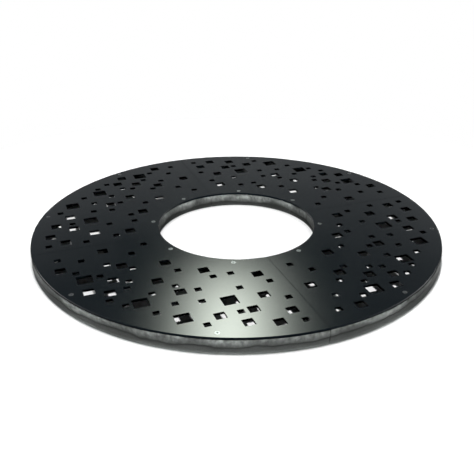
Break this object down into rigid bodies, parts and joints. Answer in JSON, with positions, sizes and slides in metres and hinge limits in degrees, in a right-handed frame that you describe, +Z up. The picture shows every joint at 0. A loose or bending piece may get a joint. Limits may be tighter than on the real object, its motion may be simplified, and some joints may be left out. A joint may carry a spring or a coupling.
{
  "type": "tree grate",
  "caption": "Round tree grate: perforated panels in quarters, screwed to a low galvanised ring frame around an open middle for the trunk.",
  "frame": {"origin": "on the ground, at the middle of the tree opening", "axes": "+Z up, out of the walking surface; the seams between the panels lie along X and Y"},
  "size_m": [1.5, 1.5, 0.056],
  "materials": {
    "panel": "near-black powder coat, smooth satin",
    "frame_zinc": "hot-dip galvanised, mottled, matt to satin",
    "screw_steel": "bright stainless, satin",
    "bolt_zinc": "zinc plated, satin"
  },
  "bodies": {
    "root": {"panel_1": "panel", "panel_2": "panel", "panel_3": "panel", "panel_4": "panel", "outer_strip_1": "frame_zinc", "outer_strip_2": "frame_zinc", "outer_strip_3": "frame_zinc", "outer_strip_4": "frame_zinc", "inner_strip_1": "frame_zinc", "inner_strip_2": "frame_zinc", "inner_strip_3": "frame_zinc", "inner_strip_4": "frame_zinc", "start_bar_1": "frame_zinc", "start_bar_2": "frame_zinc", "start_bar_3": "frame_zinc", "start_bar_4": "frame_zinc", "end_bar_1": "frame_zinc", "end_bar_2": "frame_zinc", "end_bar_3": "frame_zinc", "end_bar_4": "frame_zinc", "outer_lugs_1": "frame_zinc", "outer_lugs_2": "frame_zinc", "outer_lugs_3": "frame_zinc", "outer_lugs_4": "frame_zinc", "inner_lugs_1": "frame_zinc", "inner_lugs_2": "frame_zinc", "inner_lugs_3": "frame_zinc", "inner_lugs_4": "frame_zinc", "outer_screws": "screw_steel", "inner_screws": "screw_steel", "joint_bolts": "bolt_zinc", "joint_washers": "bolt_zinc", "joint_nuts": "bolt_zinc"}
  },
  "joints": []
}
